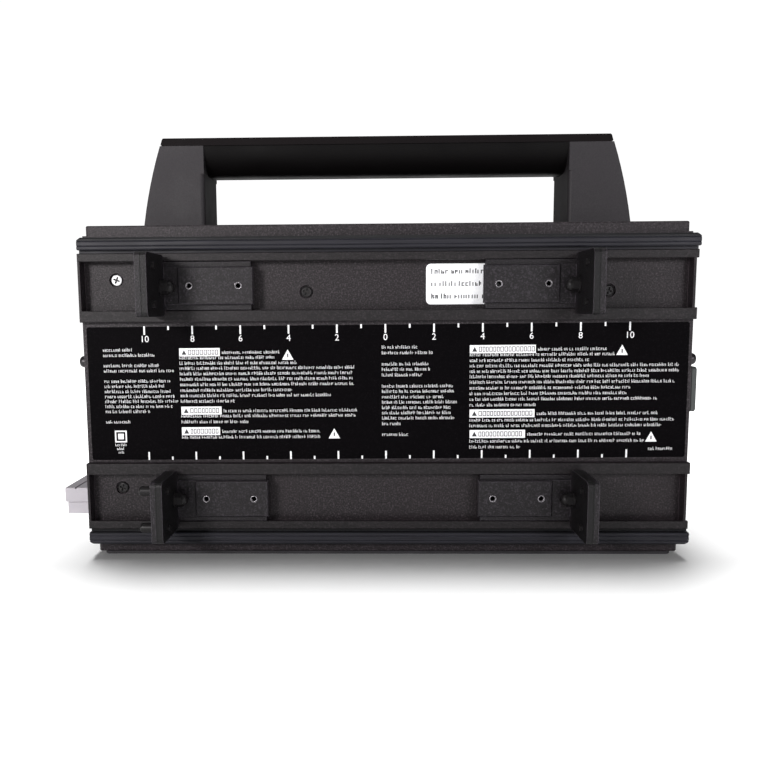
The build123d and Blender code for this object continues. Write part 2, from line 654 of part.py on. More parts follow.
def ac_inlet_bezel():
    x0 = HALF_W + INLET_PROUD - BEZEL_T + 0.02
    plate = rounded_plate((x0, INLET_Y, INLET_Z), (1, 0, 0), (0, 1, 0), INLET_W, INLET_H, 2.4, BEZEL_T)
    plate = fillet(plate.faces().sort_by(Axis.X)[-1].edges(), 0.8)
    plate -= inlet_cavity(x0 - 1, x0 + 5)
    for sign in (-1, 1):
        plate -= rod((x0 - 1, INLET_Y + sign * 20, INLET_Z), (1, 0, 0), 1.6, 6)
    return plate


def ac_inlet_pins():
    pins = []
    for y, z in PINS:
        y += INLET_Y
        z += INLET_Z
        blade = block(HALF_W - 26, HALF_W + 3.5, y - 1.0, y + 1.0, z - 2.0, z + 2.0)
        pins.append(chamfer(blade.faces().sort_by(Axis.X)[-1].edges(), 0.6))
    return group(pins)


# ---------------------------------------------------------------- direct-current connector
def dc_cavity(side):
    """One contact chamber of the connector: (y0, y1, z0, z1)."""
    y = DC_Y + side * 11.8
    return y - 7.6, y + 7.6, DC_Z - 6.0, DC_Z + 6.0


def dc_connector_housing():
    """Two-pole housing; its upper half stands a little further out than its lower half."""
    x_out = -HALF_W - DC_REACH
    x_in = -HALF_W + 14
    y0 = DC_Y - DC_W / 2
    y1 = DC_Y + DC_W / 2
    z0 = DC_Z - DC_H / 2
    z1 = DC_Z + DC_H / 2
    split = DC_Z - 0.9
    shell = block(x_out, x_in, y0, y1, split, z1) + block(x_out + 1.8, x_in, y0, y1, z0, split)
    shell = edges_along(shell, Axis.X, 1.0)
    shell -= block(x_out + 7, x_out + 8.4, y0 - 1, y1 + 1, z1 - 0.8, z1 + 1)
    shell -= block(x_out + 16, -HALF_W - 6, DC_Y - 5, DC_Y + 5, z1 - 1.0, z1 + 1)
    for y in (y0, y1):
        shell -= block(x_out - 1, x_in + 1, y - 0.5, y + 0.5, split - 0.35, split + 0.35)
    for side in (-1, 1):
        low_y, high_y, low_z, high_z = dc_cavity(side)
        shell -= block(x_out - 1, x_out + 24, low_y, high_y, low_z, high_z)
        bar = bus_bar_limits(side)
        shell -= block(x_out + 23, x_in + 1, bar[0] - 0.05, bar[1] + 0.05, bar[2] - 0.05, bar[3] + 0.05)
    return shell


def bus_bar_limits(side):
    """Section of one bus bar: (y0, y1, z0, z1)."""
    y = DC_Y + side * 11.8
    return y - 5.5, y + 5.5, DC_Z - 1.5, DC_Z + 1.5


def dc_contacts():
    """Contact blades that run inward as bus bars and turn up to the main board."""
    bars = []
    for side in (-1, 1):
        y0, y1, z0, z1 = bus_bar_limits(side)
        bar = block(-HALF_W - DC_REACH + 5, -140, y0, y1, z0, z1)
        bar = chamfer(bar.faces().sort_by(Axis.X)[0].edges().filter_by(Axis.Y), 1.0)
        bars.append(bar + block(-143, -140, y0, y1, z0, BOARD_Z - 0.02))
    return group(bars)


# ---------------------------------------------------------------- electronics
def standoff_places():
    return [(x, y) for x in (-138, 0, 138) for y in (-58, 48)]


def main_board():
    board = block(-148, 148, -66, 56, BOARD_Z, BOARD_Z + BOARD_T)
    for x, y in standoff_places():
        board -= rod((x, y, BOARD_Z - 1), (0, 0, 1), 1.6, 4)
    return board


def board_standoffs():
    floor = PAD_T + SHEET
    return group(rod((x, y, floor), (0, 0, 1), 3.0, BOARD_Z - floor) for x, y in standoff_places())


def heatsinks():
    """Two finned bars along the board."""
    base = BOARD_Z + BOARD_T
    sinks = []
    for y, out in ((-52.0, 1), (42.0, -1)):
        y_end = y + out * 4
        sink = block(-110, 110, min(y, y_end), max(y, y_end), base, base + 52)
        for step in range(9):
            z = base + 4 + step * 5.5
            y_fin = y - out * 12
            sink += block(-110, 110, min(y, y_fin), max(y, y_fin), z, z + 1.5)
        sinks.append(sink)
    return group(sinks)


def power_transistors():
    base = BOARD_Z + BOARD_T
    parts = []
    for y, out in ((-52.0, 1), (42.0, -1)):
        for x in (-90, -60, 60, 90):
            y_near = y + out * 4.1
            y_far = y + out * 9.1
            case = block(x - 8, x + 8, min(y_near, y_far), max(y_near, y_far), base + 8, base + 28)
            for lead in (-5.4, 0, 5.4):
                y_mid = y + out * 6.6
                case += block(x + lead - 0.6, x + lead + 0.6, y_mid - 0.4, y_mid + 0.4, base, base + 8.5)
            parts.append(case)
    return group(parts)


def transformer_core():
    """Ferrite core: an outer frame with a centre leg, standing on the board."""
    base = BOARD_Z + BOARD_T
    core = block(-32, 32, -22, 12, base + 3, base + 55)
    core -= block(-24, -9, -23, 13, base + 12, base + 46)
    return core - block(9, 24, -23, 13, base + 12, base + 46)


def transformer_winding():
    base = BOARD_Z + BOARD_T
    coil = block(-23, 23, -36, 26, base + 13, base + 45)
    coil = edges_along(coil, Axis.Z, 10.0)
    return coil - block(-9.4, 9.4, -22.4, 12.4, base + 12, base + 46) - block(-33, 33, -22.4, 12.4, 0, base + 12.9)


def output_choke():
    """Toroid with a thick copper winding, standing on the board on two legs."""
    base = BOARD_Z + BOARD_T
    ring = Pos(-70, -4, base + 26) * Rot(0, 90, 0) * Torus(17.0, 8.0)
    for y in (-12, 4):
        ring += rod((-70, y, base), (0, 0, 1), 1.5, 12)
    return ring


def bulk_capacitors():
    base = BOARD_Z + BOARD_T
    cans = []
    for x, y in ((62, -22), (62, 14), (98, -22), (98, 14)):
        can = rod((x, y, base), (0, 0, 1), 15.0, 45.0)
        cans.append(fillet(can.edges(), 1.5))
    return group(cans)


# ---------------------------------------------------------------- fan
def fan_screw_places():
    half = FAN_PITCH / 2
    return [(FAN_Y + y, FAN_Z + z) for y in (-half, half) for z in (-half, half)]


def fan_frame():
    """Square frame with a round duct; struts hold the bearing tube at the inner side."""
    x0 = -HALF_W + SHEET + GAP
    x1 = x0 + FAN_T
    half = FAN / 2
    frame = edges_along(block(x0, x1, FAN_Y - half, FAN_Y + half, FAN_Z - half, FAN_Z + half), Axis.X, 4.0)
    frame -= rod((x0 - 1, FAN_Y, FAN_Z), (1, 0, 0), DUCT_R, FAN_T + 2)
    for turn in range(4):
        strut = block(x1 - 3, x1, FAN_Y - 2, FAN_Y + 2, FAN_Z, FAN_Z + DUCT_R + 1)
        frame += strut.rotate(Axis((0, FAN_Y, FAN_Z), (1, 0, 0)), 45 + 90 * turn)
    frame += rod((x1 - 3, FAN_Y, FAN_Z), (1, 0, 0), 15.0, 3.0)
    frame += rod((x0 + 8, FAN_Y, FAN_Z), (1, 0, 0), 4.0, FAN_T - 8)
    frame -= rod((x0, FAN_Y, FAN_Z), (1, 0, 0), SHAFT_R + SHAFT_CLEAR, FAN_T - 2)
    for y, z in fan_screw_places():
        frame -= rod((x0 - 1, y, z), (1, 0, 0), SHANK_R + 0.1, 12)
    return frame


def fan_rotor():
    """Hub cup with seven pitched blades and the shaft that turns in the bearing tube."""
    x0 = -HALF_W + SHEET + GAP
    hub = rod((x0 + 2, FAN_Y, FAN_Z), (1, 0, 0), 16.0, 18.5)
    hub = fillet(hub.faces().sort_by(Axis.X)[0].edges(), 2.0)
    hub -= rod((x0 + 5, FAN_Y, FAN_Z), (1, 0, 0), 14.5, 20)
    hub += rod((x0 + 4, FAN_Y, FAN_Z), (1, 0, 0), SHAFT_R, 16)
    for turn in range(7):
        blade = Box(20.0, 1.8, 21.4, align=(Align.CENTER, Align.CENTER, Align.MIN))
        blade = Pos(x0 + 11.2, FAN_Y, FAN_Z + 15.0) * Rot(0, 0, 38) * blade
        hub += blade.rotate(Axis((0, FAN_Y, FAN_Z), (1, 0, 0)), turn * 360 / 7)
    return hub


def fan_grille():
    """Guard of flat rings and four spokes on the outside of the left panel."""
    face = Plane(origin=(-HALF_W, FAN_Y, FAN_Z), x_dir=(0, 1, 0), z_dir=(-1, 0, 0))
    rings = Sketch()
    for radius in (8, 15, 22, 29, 36):
        rings += Circle(radius + 0.9) - Circle(radius - 0.9)
    rings += Circle(8)
    for turn in range(4):
        spoke = Pos(0, FAN_PITCH / math.sqrt(2) / 2) * Rectangle(2.4, FAN_PITCH / math.sqrt(2))
        rings += Rot(0, 0, 45 + 90 * turn) * spoke
        rings += Rot(0, 0, 45 + 90 * turn) * Pos(0, FAN_PITCH / math.sqrt(2)) * Circle(4.2)
    for turn in range(4):
        rings -= Rot(0, 0, 45 + 90 * turn) * Pos(0, FAN_PITCH / math.sqrt(2)) * Circle(HOLE_R)
    return extrude(face * rings, amount=1.6)


# ---------------------------------------------------------------- sliding brackets
def bracket_places(name):
    """Flange plane X, direction towards the middle, channel height."""
    flange, sign, _, _ = BRACKETS[name]
    return flange, -math.copysign(1, flange), LABEL_Z + sign * CHANNEL_MID


def span(flange, inward, near, far):
    """X limits of a stretch measured from the flange plane towards the middle."""
    return sorted((flange + inward * near, flange + inward * far))


def bar_limits(name):
    """Near and far end of the bar, measured from the flange plane."""
    start = BRACKETS[name][2]
    return start, start + BAR_L


def tapped_holes(name):
    flange, inward, z = bracket_places(name)
    first = bar_limits(name)[1] - HOLE_INSET
    return [(flange + inward * (first - step), z) for step in (0, HOLE_PITCH)]


def bracket_shoe(name):
    """Slide shoe: a foot behind the channel lips and wings that fill the opening."""
    flange, inward, z = bracket_places(name)
    x0, x1 = span(flange, inward, -PLATE_T, bar_limits(name)[1] - BAR_SET_BACK)
    lip_in = LIP_FACE + LIP_T
    foot_half = (RAIL_OUT - RAIL_IN - 2 * RAIL_WALL) / 2 - 0.6
    z_foot = LABEL_Z + math.copysign(RAIL_MID, z - LABEL_Z)
    foot = block(x0, x1, lip_in + 0.4, lip_in + 4.0, z_foot - foot_half, z_foot + foot_half)
    wing_half = OPENING_H / 2 - 0.35
    shoe = foot + block(x0, x1, LIP_FACE + 0.5, lip_in + 0.6, z - wing_half, z + wing_half)
    for x, z_hole in tapped_holes(name):
        shoe -= rod((x, LIP_FACE - 1, z_hole), (0, 1, 0), TAP_R, 12)
    return shoe


def plate_outline(name, x0, thickness):
    """Upright plate across the rail, with rounded corners and a tongue between the lips."""
    _, _, z = bracket_places(name)
    shoulder = LIP_FACE - 0.4
    tongue = OPENING_H / 2 - 0.35
    plate = block(x0, x0 + thickness, REAR - PLATE_REACH, shoulder, z - PLATE_H / 2, z + PLATE_H / 2)
    plate = fillet(plate.edges().filter_by(Axis.X).group_by(Axis.Y)[0], 3.0)
    plate = fillet(plate.edges().filter_by(Axis.X).group_by(Axis.Y)[-1], 4.0)
    return plate + block(x0, x0 + thickness, shoulder - 5, LIP_FACE + 0.48, z - tongue, z + tongue)


def plate_holes(name, x0):
    """Holes through an upright or a pad: two for the flange screws, one for the bolt."""
    _, _, z = bracket_places(name)
    holes = rod((x0 - 1, REAR - BOLT_REACH, bolt_height(name)), (1, 0, 0), 2.6, PLATE_T + 2)
    for sign in (-1, 1):
        height = z + sign * SCREW_PITCH / 2
        holes += rod((x0 - 1, REAR - SCREW_REACH, height), (1, 0, 0), 2.0, PLATE_T + 2)
    return holes


def bolt_height(name):
    """Z of the bracket's centre bolt, on the rail's middle line."""
    return LABEL_Z + BRACKETS[name][1] * RAIL_MID


def bracket_arm(name):
    """Angle: an upright plate, a thin foot beside it and the thicker bar with the tapped holes."""
    flange, inward, z = bracket_places(name)
    x0, _ = span(flange, inward, 0, PLATE_T)
    arm = plate_outline(name, x0, PLATE_T)
    face = LIP_FACE + 0.48
    bar_start, bar_end = bar_limits(name)
    x2, x3 = span(flange, inward, PLATE_T - 0.5, bar_start + 0.5)
    arm += block(x2, x3, face - 1.3, face, z - BAR_H / 2, z + BAR_H / 2)
    x4, x5 = span(flange, inward, bar_start, bar_end)
    bar = block(x4, x5, face - 2.7, face, z - BAR_H / 2, z + BAR_H / 2)
    arm += chamfer(bar.faces().sort_by(Axis.Y)[0].edges(), 0.7)
    for x, z_hole in tapped_holes(name):
        arm -= rod((x, face - 5, z_hole), (0, 1, 0), TAP_R, 8)
    return arm - plate_holes(name, x0)


def bracket_pad(name):
    """Outer plate on the upright's outward face."""
    flange, inward, _ = bracket_places(name)
    x0, _ = span(flange, inward, -PLATE_T, -0.05)
    return plate_outline(name, x0, PLATE_T - 0.05) - plate_holes(name, x0)


def cap_nut(point, direction):
    """Closed nut: a hexagon with a rounded cap on it, and a blind hole."""
    across = Plane(origin=point, z_dir=direction)
    nut = extrude(across * RegularPolygon(4.6, 6), amount=3.6)
    cap = rod(point, direction, 3.7, 7.0)
    nut += fillet(cap.faces().sort_by(Axis(point, direction))[-1].edges(), 2.9)
    return nut - rod(point, direction, 2.55, 5.0)


def bracket_fasteners(name):
    """Two flange screws from outside, and the centre bolt with its washer and cap nut."""
    flange, inward, z = bracket_places(name)
    outer = flange - inward * (PLATE_T + 0.02)
    inner = flange + inward * (PLATE_T + 0.02)
    direction = (inward, 0, 0)
    head = BRACKETS[name][3]
    y_bolt = REAR - BOLT_REACH
    z_bolt = bolt_height(name)
    solids = []
    for sign in (-1, 1):
        point = (outer, REAR - SCREW_REACH, z + sign * SCREW_PITCH / 2)
        solids.append(pan_screw(point, direction, 2.9, head, 1.95, 2 * PLATE_T + 1.8))
    bolt = rod((outer, y_bolt, z_bolt), direction, 2.5, 2 * PLATE_T + 5.0)
    solids.append(bolt + rod((outer, y_bolt, z_bolt), (-inward, 0, 0), 4.6, 1.6))
    washer = rod((inner, y_bolt, z_bolt), direction, 5.0, 1.0)
    solids.append(washer - rod((inner, y_bolt, z_bolt), direction, 2.55, 1.0))
    solids.append(cap_nut((inner + inward * 1.02, y_bolt, z_bolt), direction))
    return group(solids)


# ---------------------------------------------------------------- output
def sub_parts():
    parts = {
        "base_pad": base_pad(),
        "base_tray": base_tray(),
        "top_lid": top_lid(),
        "left_side_panel": left_side_panel(),
        "right_side_panel": right_side_panel(),
        "rear_panel": rear_panel(),
        "front_panel": front_panel(),
        "upper_rail": rail(1),
        "lower_rail": rail(-1),
        "upper_trim": trim(1),
        "lower_trim": trim(-1),
        "rail_screws": rail_screws(),
        "side_screws": side_screws(),
        "rating_label": rating_label(),
        "serial_sticker": serial_sticker(),
        "handle_frame": handle_frame(),
        "handle_cap": handle_cap(),
        "handle_screws": handle_screws(),
        "control_fascia": control_fascia(),
        "display_lens": display_lens(),
        "display_module": display_module(),
        "indicator_lenses": indicator_lenses(),
        "control_board": control_board(),
        "rocker_frame": rocker_frame(),
        "power_rocker": power_rocker(),
        "ac_inlet": ac_inlet(),
        "ac_inlet_bezel": ac_inlet_bezel(),
        "ac_inlet_pins": ac_inlet_pins(),
        "dc_connector_housing": dc_connector_housing(),
        "dc_contacts": dc_contacts(),
        "main_board": main_board(),
        "board_standoffs": board_standoffs(),
        "heatsinks": heatsinks(),
        "power_transistors": power_transistors(),
        "transformer_core": transformer_core(),
        "transformer_winding": transformer_winding(),
        "output_choke": output_choke(),
        "bulk_capacitors": bulk_capacitors(),
        "fan_frame": fan_frame(),
        "fan_rotor": fan_rotor(),
        "fan_grille": fan_grille(),
    }
    for name in BUTTONS:
        parts[name] = push_button(name)
    for name in BRACKETS:
        parts[name + "_shoe"] = bracket_shoe(name)
        parts[name + "_arm"] = bracket_arm(name)
        parts[name + "_fasteners"] = bracket_fasteners(name)
    for name in BRACKETS:
        parts[name + "_pad"] = bracket_pad(name)
    return parts


def main():
    os.makedirs("parts", exist_ok=True)
    for name, shape in sub_parts().items():
        export_step(shape, "parts/" + name + ".step")


main()
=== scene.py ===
import bpy
import bmesh
import json
import math
import random
from mathutils import Matrix, Vector


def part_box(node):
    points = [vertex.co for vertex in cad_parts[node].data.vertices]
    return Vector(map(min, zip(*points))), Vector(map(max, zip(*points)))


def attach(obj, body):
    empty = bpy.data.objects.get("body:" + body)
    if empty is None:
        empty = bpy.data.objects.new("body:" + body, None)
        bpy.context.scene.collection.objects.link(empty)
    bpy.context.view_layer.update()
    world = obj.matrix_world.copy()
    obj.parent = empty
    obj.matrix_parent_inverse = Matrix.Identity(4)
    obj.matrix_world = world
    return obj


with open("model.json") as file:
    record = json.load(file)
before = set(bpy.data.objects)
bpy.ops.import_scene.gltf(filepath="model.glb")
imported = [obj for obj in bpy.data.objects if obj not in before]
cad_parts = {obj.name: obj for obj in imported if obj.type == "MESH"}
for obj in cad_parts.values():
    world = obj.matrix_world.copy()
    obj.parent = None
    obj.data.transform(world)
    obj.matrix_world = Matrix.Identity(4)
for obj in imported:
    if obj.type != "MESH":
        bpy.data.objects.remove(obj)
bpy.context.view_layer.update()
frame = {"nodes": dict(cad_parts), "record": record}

# Car battery charger seen from its labelled rear side. Units are metres; the script's own
# small sizes are written in millimetres and multiplied by MM.
MM = 0.001
nodes = frame["nodes"]
BRACKETS = ("upper_left", "lower_left", "upper_right", "lower_right")
BUTTONS = {                                         # printed bars: half width and half height in mm
    "mode_button": ((2.4, 2.4), ),
    "plus_button": ((3.2, 0.55), (0.55, 3.2)),
    "minus_button": ((3.2, 0.55), ),
}

label_low, label_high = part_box("rating_label")
INDEX_MID = (label_low + label_high) / 2            # middle of the label and its index scale
INDEX_MID.y = label_low.y
LABEL_TURN = math.radians(0.2)                      # the label is stuck on a little askew
STEP = 15.0                                         # one step of the index scale


# ---------------------------------------------------------------- camera, light and floor
def add_camera():
    """Camera straight at the rear face, a little above its middle."""
    data = bpy.data.cameras.new("camera")
    data.sensor_width = 36.0
    data.lens = 34.19
    data.shift_x = 0.0365
    data.shift_y = 0.0044
    data.clip_start = 0.02
    data.clip_end = 60.0
    camera = bpy.data.objects.new("camera", data)
    bpy.context.scene.collection.objects.link(camera)
    yaw, pitch, roll = -0.0213, 0.1068, -0.0063
    forward = Vector((math.sin(yaw) * math.cos(pitch), math.cos(yaw) * math.cos(pitch), -math.sin(pitch)))
    right = Vector((math.cos(yaw), -math.sin(yaw), 0.0))
    up = right.cross(forward)
    right_rolled = right * math.cos(roll) + up * math.sin(roll)
    up_rolled = up * math.cos(roll) - right * math.sin(roll)
    turn = Matrix((right_rolled, up_rolled, -forward)).transposed()
    camera.matrix_world = Matrix.Translation((-0.0099, -0.5501, 0.1582)) @ turn.to_4x4()
    bpy.context.scene.camera = camera


def area_light(name, place, target, size, power, color=(1, 1, 1)):
    data = bpy.data.lights.new(name, "AREA")
    data.shape = "RECTANGLE"
    data.size, data.size_y = size
    data.energy = power
    data.color = color
    light = bpy.data.objects.new(name, data)
    bpy.context.scene.collection.objects.link(light)
    light.location = place
    light.rotation_euler = (Vector(target) - Vector(place)).to_track_quat("-Z", "Y").to_euler()
    return light


def add_world():
    """White surroundings: bright where the camera sees them, dimmer as a light on the object."""
    world = bpy.data.worlds.new("studio")
    world.use_nodes = True
    tree = world.node_tree
    tree.nodes.clear()
    out = tree.nodes.new("ShaderNodeOutputWorld")
    mix = tree.nodes.new("ShaderNodeMixShader")
    path = tree.nodes.new("ShaderNodeLightPath")
    lit = tree.nodes.new("ShaderNodeBackground")
    seen = tree.nodes.new("ShaderNodeBackground")
    lit.inputs["Color"].default_value = (1, 1, 1, 1)
    lit.inputs["Strength"].default_value = 0.19
    seen.inputs["Color"].default_value = (1, 1, 1, 1)
    seen.inputs["Strength"].default_value = 1.05
    tree.links.new(path.outputs["Is Camera Ray"], mix.inputs["Fac"])
    tree.links.new(lit.outputs[0], mix.inputs[1])
    tree.links.new(seen.outputs[0], mix.inputs[2])
    tree.links.new(mix.outputs[0], out.inputs["Surface"])
    bpy.context.scene.world = world


def add_floor():
    mesh = bpy.data.meshes.new("floor")
    shape = bmesh.new()
    bmesh.ops.create_circle(shape, cap_ends=True, radius=12.0, segments=96)
    shape.to_mesh(mesh)
    shape.free()
    floor = bpy.data.objects.new("floor", mesh)
    bpy.context.scene.collection.objects.link(floor)
    paint = Paint("pale_floor", (0.86, 0.86, 0.86), 0.9, specular=0.1)
    paint.shader.inputs["Emission Color"].default_value = (1, 1, 1, 1)
    reach = paint.node("ShaderNodeTexGradient", gradient_type="SPHERICAL")
    paint.link(paint.stretched((0.8, 0.8, 0.8)), reach.inputs["Vector"])
    glow = paint.range(reach.outputs["Fac"], 1.0, 0.08, 0.0, 0.62)
    paint.link(glow, paint.shader.inputs["Emission Strength"])
    mesh.materials.append(paint.material)
    return floor


def light_scene(floor):
    """The softboxes light the object only; a large lamp above and behind it lights the floor."""
    warm = (1.0, 0.97, 0.975)
    cool = (0.98, 0.965, 1.0)
    boxes = (
        area_light("left_softbox", (-0.54, -0.88, 0.38), (-0.10, -0.1, 0.14), (0.22, 0.22), 7.4, warm),
        area_light("right_softbox", (0.52, -0.90, 0.38), (0.12, -0.1, 0.14), (0.24, 0.24), 2.8, cool),
        area_light("front_fill", (-0.1, -1.6, 0.35), (0, 0, 0.12), (0.7, 0.4), 0.6),
        area_light("top_softbox", (-0.05, 0.10, 1.3), (0, 0.0, 0.2), (1.2, 1.2), 5.0),
    )
    for box in boxes:
        box.light_linking.receiver_collection = linked("floor_left_out", "EXCLUDE", [floor])
    lamp = area_light("floor_lamp", (-0.03, 0.24, 1.45), (0, 0.05, 0.0), (1.1, 0.6), 46)
    lamp.light_linking.receiver_collection = linked("floor_only", "INCLUDE", [floor])
    clear = [nodes[name] for name in nodes if name.startswith((*BRACKETS, "dc_c"))]
    lamp.light_linking.blocker_collection = linked("cast_nothing", "EXCLUDE", clear)


def linked(name, state, objects):
    """Collection that a light includes or leaves out."""
    collection = bpy.data.collections.new(name)
    for thing in objects:
        collection.objects.link(thing)
    for member in collection.collection_objects:
        member.light_linking.link_state = state
    return collection


# ---------------------------------------------------------------- material building blocks
class Paint:
    """A node material being put together: a principled shader plus chains of texture nodes."""

    def __init__(self, name, color, roughness, metallic=0.0, specular=0.5):
        self.material = bpy.data.materials.new(name)
        self.material.use_nodes = True
        self.tree = self.material.node_tree
        self.shader = self.tree.nodes["Principled BSDF"]
        self.place = self.tree.nodes.new("ShaderNodeTexCoord").outputs["Object"]
        self.shader.inputs["Base Color"].default_value = (*color, 1)
        self.shader.inputs["Roughness"].default_value = roughness
        self.shader.inputs["Metallic"].default_value = metallic
        self.shader.inputs["Specular IOR Level"].default_value = specular

    def node(self, kind, **settings):
        made = self.tree.nodes.new(kind)
        for key, value in settings.items():
            setattr(made, key, value)
        return made

    def link(self, source, target):
        self.tree.links.new(source, target)

    def stretched(self, scale):
        """Object coordinates scaled per axis."""
        mapping = self.node("ShaderNodeMapping")
        mapping.inputs["Scale"].default_value = scale
        self.link(self.place, mapping.inputs["Vector"])
        return mapping.outputs["Vector"]

    def noise(self, size_mm, detail=2.0, roughness=0.5, vector=None):
        """Noise whose features are about size_mm across."""
        made = self.node("ShaderNodeTexNoise")
        made.inputs["Scale"].default_value = 1.0 / (size_mm * MM)
        made.inputs["Detail"].default_value = detail
        made.inputs["Roughness"].default_value = roughness
        self.link(vector or self.place, made.inputs["Vector"])
        return made.outputs["Fac"]

    def ramp(self, source, stops):
        """Colour ramp: stops are (position, colour)."""
        made = self.node("ShaderNodeValToRGB")
        elements = made.color_ramp.elements
        while len(elements) < len(stops):
            elements.new(0.5)
        for element, (position, color) in zip(elements, stops):
            element.position = position
            element.color = (*color, 1)
        self.link(source, made.inputs["Fac"])
        return made.outputs["Color"]

    def range(self, source, low, high, from_low=0.3, from_high=0.7):
        made = self.node("ShaderNodeMapRange")
        made.inputs["From Min"].default_value = from_low
        made.inputs["From Max"].default_value = from_high
        made.inputs["To Min"].default_value = low
        made.inputs["To Max"].default_value = high
        self.link(source, made.inputs["Value"])
        return made.outputs["Result"]

    def blend(self, factor, first, second, mode="MIX"):
        made = self.node("ShaderNodeMix", data_type="RGBA", blend_type=mode)
        if isinstance(factor, (int, float)):
            made.inputs["Factor"].default_value = factor
        else:
            self.link(factor, made.inputs["Factor"])
        for socket, value in (("A", first), ("B", second)):
            target = [s for s in made.inputs if s.name == socket and s.type == "RGBA"][0]
            if isinstance(value, tuple):
                target.default_value = (*value, 1)
            else:
                self.link(value, target)
        return [s for s in made.outputs if s.type == "RGBA"][0]

    def color(self, source):
        self.link(source, self.shader.inputs["Base Color"])

    def roughness(self, source):
        self.link(source, self.shader.inputs["Roughness"])

    def rounded(self, radius_mm):
        """Normal that turns softly over sharp edges."""
        made = self.node("ShaderNodeBevel", samples=4)
        made.inputs["Radius"].default_value = radius_mm * MM
        return made.outputs["Normal"]

    def position(self, axis):
        """Object coordinate along one axis, in metres."""
        split = self.node("ShaderNodeSeparateXYZ")
        self.link(self.place, split.inputs["Vector"])
        return split.outputs[axis]

    def within(self, axis, middle, half, soft=0.08 * MM):
        """1 where a coordinate lies within half of the middle, 0 outside."""
        above = self.range(self.position(axis), 0.0, 1.0, middle - half - soft, middle - half + soft)
        below = self.range(self.position(axis), 1.0, 0.0, middle + half - soft, middle + half + soft)
        return self.product(above, below)

    def product(self, first, second):
        made = self.node("ShaderNodeMath", operation="MULTIPLY")
        self.link(first, made.inputs[0])
        self.link(second, made.inputs[1])
        return made.outputs["Value"]

    def bump(self, heights, edge_mm=0.3):
        """Rounded edges, then a chain of bumps: heights are (source, depth in mm, strength)."""
        normal = self.rounded(edge_mm)
        for source, depth, strength in heights:
            made = self.node("ShaderNodeBump")
            made.inputs["Distance"].default_value = depth * MM
            made.inputs["Strength"].default_value = strength
            self.link(source, made.inputs["Height"])
            if normal is not None:
                self.link(normal, made.inputs["Normal"])
            normal = made.outputs["Normal"]
        self.link(normal, self.shader.inputs["Normal"])

    def edge_mask(self, radius_mm, low, high):
        """Bright where a surface bends sharply: edges within about radius_mm."""
        rounded = self.node("ShaderNodeBevel", samples=4)
        rounded.inputs["Radius"].default_value = radius_mm * MM
        flat = self.node("ShaderNodeNewGeometry")
        dot = self.node("ShaderNodeVectorMath", operation="DOT_PRODUCT")
        self.link(rounded.outputs["Normal"], dot.inputs[0])
        self.link(flat.outputs["Normal"], dot.inputs[1])
        return self.range(dot.outputs["Value"], 1.0, 0.0, low, high)


def powder_coat(name, low, high, speck, lips_from=None, outward_dark=0.55, seam=None, edge=1.3):
    """Textured black powder coat: a fine orange-peel grain with light specks.

    Faces that stand out beyond lips_from are darker. On the rails this darkens the lips, and on the
    bracket arms it is painted shade on the flanges. Edges are painted lighter as a painted highlight,
    and a dark line follows the seam, the X of the plane where two plates meet.
    """
    paint = Paint(name, low, 0.5, specular=0.24)
    grain = paint.noise(1.05, 3.0, 0.65)
    fine = paint.noise(0.45, 2.0, 0.5)
    broad = paint.noise(60.0, 2.0)
    base = paint.ramp(grain, [(0.36, low), (0.52, high), (0.68, speck)])
    warm = tuple(c * k for c, k in zip(high, (1.12, 0.98, 0.98)))
    tinted = paint.blend(paint.range(broad, 0.0, 0.4), base, warm)
    if lips_from is not None:
        # Painted shade on the bracket flanges; on the rails the lips are darkened.
        outward = paint.range(paint.position("Y"), outward_dark, 0.0, lips_from, lips_from + 1.5 * MM)
        tinted = paint.blend(outward, tinted, tuple(c * 0.25 for c in low))
    # Painted highlight: edges are painted lighter, edge times the speck colour.
    edge_highlighted = paint.blend(paint.edge_mask(0.5, 0.80, 0.97), tinted, tuple(c * edge for c in speck))
    if seam is not None:
        edge_highlighted = paint.blend(paint.within("X", seam, 0.55 * MM, 0.15 * MM), edge_highlighted, (0.001, 0.001, 0.001))
    paint.color(edge_highlighted)
    paint.roughness(paint.range(fine, 0.40, 0.60))
    paint.bump([(grain, 0.22, 0.8), (fine, 0.08, 0.5)])
    return paint.material


def trim_coat(name, dark_from, dark_to):
    """Smooth satin coat with fine lengthwise draw lines, dark between two heights."""
    paint = Paint(name, (0.013, 0.0132, 0.017), 0.46, specular=0.22)
    lines = paint.noise(1.0, 3.0, 0.6, paint.stretched((0.02, 1.0, 1.6)))
    cloud = paint.noise(35.0, 3.0)
    base = paint.ramp(lines, [(0.35, (0.0070, 0.0066, 0.0092)), (0.65, (0.016, 0.0155, 0.021))])
    height = paint.position("Z")
    above = paint.range(height, 0.0, 1.0, dark_from - 0.2 * MM, dark_from)
    below = paint.range(height, 1.0, 0.0, dark_to, dark_to + 0.2 * MM)
    shaded = paint.blend(paint.product(above, below), base, (0.004, 0.004, 0.005))
    # Painted highlight: the trim's edges are painted lighter.
    edge_highlighted = paint.blend(paint.edge_mask(0.4, 0.80, 0.97), shaded, (0.030, 0.031, 0.038))
    paint.color(edge_highlighted)
    paint.roughness(paint.range(cloud, 0.42, 0.56))
    paint.bump([(lines, 0.03, 0.35)])
    return paint.material


def moulded_plastic(name, color, roughness, grain_mm=0.55, depth=0.05, spread=0.25, specular=0.5):
    """Spark-eroded mould grain with a slight variation of colour and gloss."""
    paint = Paint(name, color, roughness, specular=specular)
    grain = paint.noise(grain_mm, 2.0)
    cloud = paint.noise(28.0, 3.0)
    low = tuple(c * (1 - spread) for c in color)
    high = tuple(c * (1 + spread) for c in color)
    cloudy = paint.ramp(cloud, [(0.3, low), (0.7, high)])
    speckled = paint.blend(paint.range(grain, 0.0, 0.5), cloudy, tuple(c * (1 + 1.4 * spread) for c in color))
    paint.color(speckled)
    paint.roughness(paint.range(cloud, roughness - 0.06, roughness + 0.08))
    paint.bump([(grain, depth, 0.5)])
    return paint.material


